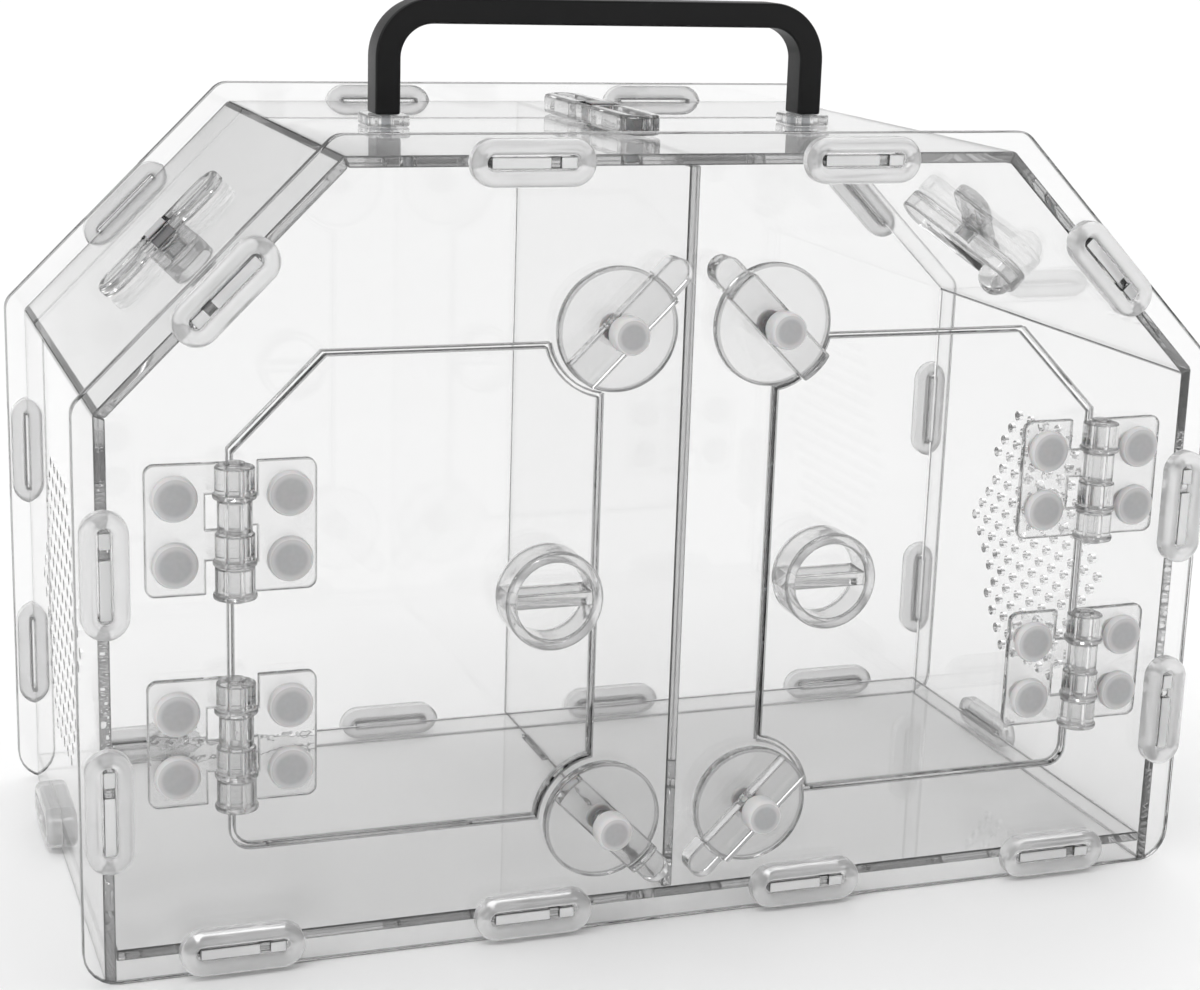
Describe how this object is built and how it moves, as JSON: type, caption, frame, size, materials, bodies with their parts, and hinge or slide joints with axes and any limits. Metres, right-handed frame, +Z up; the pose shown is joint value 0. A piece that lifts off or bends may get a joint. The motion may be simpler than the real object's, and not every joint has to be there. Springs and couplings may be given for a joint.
{
  "type": "pet keeper",
  "caption": "Clear acrylic keeper box with sloping shoulders, hinged front doors with turn latches, a divider and a black carrying handle.",
  "frame": {"origin": "on the floor, under the middle of the whole object", "axes": "+X to the right seen from the front, +Y to the back, +Z up"},
  "size_m": [0.311, 0.168, 0.2395],
  "materials": {
    "clear_sheet": "polished clear",
    "clear_moulding": "polished clear",
    "milky_silicone": "soft satin",
    "rivet_plastic": "satin",
    "black_metal": "black anodised satin",
    "screw_steel": "zinc plated"
  },
  "bodies": {
    "frame": {"front_panel": "clear_sheet", "back_panel": "clear_sheet", "left_side_panel": "clear_sheet", "right_side_panel": "clear_sheet", "left_slope_panel": "clear_sheet", "right_slope_panel": "clear_sheet", "top_panel": "clear_sheet", "bottom_panel": "clear_sheet", "divider_panel": "clear_sheet", "front_lock_rings": "milky_silicone", "back_lock_rings": "milky_silicone", "side_lock_rings": "milky_silicone", "left_upper_frame_leaf": "clear_moulding", "left_upper_hinge_pin": "clear_moulding", "left_lower_frame_leaf": "clear_moulding", "left_lower_hinge_pin": "clear_moulding", "right_upper_frame_leaf": "clear_moulding", "right_upper_hinge_pin": "clear_moulding", "right_lower_frame_leaf": "clear_moulding", "right_lower_hinge_pin": "clear_moulding", "frame_hinge_rivets": "rivet_plastic", "latch_rivets": "rivet_plastic", "handle": "black_metal", "handle_collars": "clear_moulding", "handle_screws": "screw_steel"},
    "left_door": {"left_door_panel": "clear_sheet", "left_door_pull": "clear_moulding", "left_door_rivets": "rivet_plastic", "left_upper_door_leaf": "clear_moulding", "left_lower_door_leaf": "clear_moulding"},
    "right_door": {"right_door_panel": "clear_sheet", "right_door_pull": "clear_moulding", "right_door_rivets": "rivet_plastic", "right_upper_door_leaf": "clear_moulding", "right_lower_door_leaf": "clear_moulding"},
    "left_upper_latch": {"left_upper_latch_disc": "clear_moulding", "left_upper_latch_bar": "clear_moulding"},
    "left_lower_latch": {"left_lower_latch_disc": "clear_moulding", "left_lower_latch_bar": "clear_moulding"},
    "right_upper_latch": {"right_upper_latch_disc": "clear_moulding", "right_upper_latch_bar": "clear_moulding"},
    "right_lower_latch": {"right_lower_latch_disc": "clear_moulding", "right_lower_latch_bar": "clear_moulding"},
    "top_knob": {"top_knob_wing": "clear_moulding", "top_knob_pin": "rivet_plastic", "top_knob_clip": "milky_silicone"},
    "left_knob": {"left_knob_wing": "clear_moulding", "left_knob_pin": "rivet_plastic", "left_knob_bar": "clear_moulding"},
    "right_knob": {"right_knob_wing": "clear_moulding", "right_knob_pin": "rivet_plastic", "right_knob_bar": "clear_moulding"}
  },
  "joints": [
    {"name": "left_door_swing", "type": "hinge", "parent": "frame", "child": "left_door", "pos_m": [-0.118, -0.07608, 0.089], "axis": [0, 0, -1], "range_deg": [0, 180]},
    {"name": "right_door_swing", "type": "hinge", "parent": "frame", "child": "right_door", "pos_m": [0.118, -0.07608, 0.089], "axis": [0, 0, 1], "range_deg": [0, 180]},
    {"name": "left_upper_latch_turn", "type": "hinge", "parent": "frame", "child": "left_upper_latch", "pos_m": [-0.021, -0.07037, 0.1625], "axis": [0, -1, 0], "continuous": true},
    {"name": "left_lower_latch_turn", "type": "hinge", "parent": "frame", "child": "left_lower_latch", "pos_m": [-0.021, -0.07037, 0.032], "axis": [0, -1, 0], "range_deg": [-35, 265]},
    {"name": "right_upper_latch_turn", "type": "hinge", "parent": "frame", "child": "right_upper_latch", "pos_m": [0.021, -0.07037, 0.1625], "axis": [0, 1, 0], "continuous": true},
    {"name": "right_lower_latch_turn", "type": "hinge", "parent": "frame", "child": "right_lower_latch", "pos_m": [0.021, -0.07037, 0.032], "axis": [0, 1, 0], "range_deg": [-35, 265]},
    {"name": "top_knob_turn", "type": "hinge", "parent": "frame", "child": "top_knob", "pos_m": [0, 0.00462, 0.2055], "axis": [0, 0, 1], "continuous": true},
    {"name": "left_knob_turn", "type": "hinge", "parent": "frame", "child": "left_knob", "pos_m": [-0.12, 0.00462, 0.1755], "axis": [-0.7071, 0, 0.7071], "continuous": true},
    {"name": "right_knob_turn", "type": "hinge", "parent": "frame", "child": "right_knob", "pos_m": [0.12, 0.00462, 0.1755], "axis": [0.7071, 0, 0.7071], "continuous": true}
  ]
}
